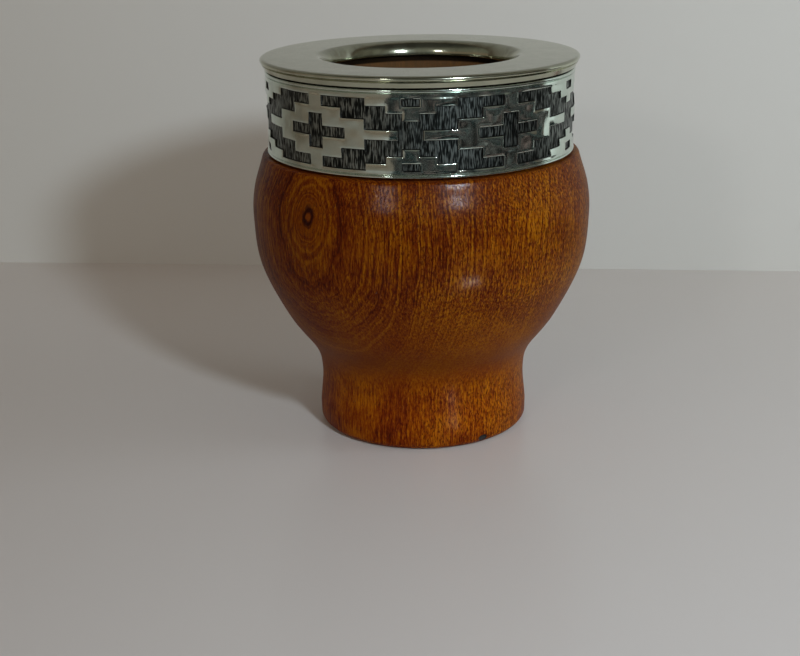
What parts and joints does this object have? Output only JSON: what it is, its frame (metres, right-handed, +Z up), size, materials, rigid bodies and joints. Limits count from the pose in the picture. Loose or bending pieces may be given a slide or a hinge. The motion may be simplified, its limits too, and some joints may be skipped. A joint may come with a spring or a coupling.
{
  "type": "wooden mate cup with metal collar",
  "caption": "Turned, varnished wooden mate cup with a round belly and narrow foot, its mouth dressed with a flat polished rim ring over a metal band engraved with stepped diamonds.",
  "frame": {"origin": "middle of the foot's flat underside, where the cup stands", "axes": "+Z up along the turning axis, -Y towards the front of the picture, +X to the picture's right"},
  "size_m": [0.0864, 0.0864, 0.0964],
  "materials": {
    "varnished_wood": "glossy clear varnish over orange-brown figured wood",
    "engraved_metal": "polished raised plates on a darkened, finely hatched background",
    "rim_metal": "mirror polish, slightly warm"
  },
  "bodies": {
    "root": {"wood_cup": "varnished_wood", "engraved_band": "engraved_metal", "rim_ring": "rim_metal"}
  },
  "joints": []
}
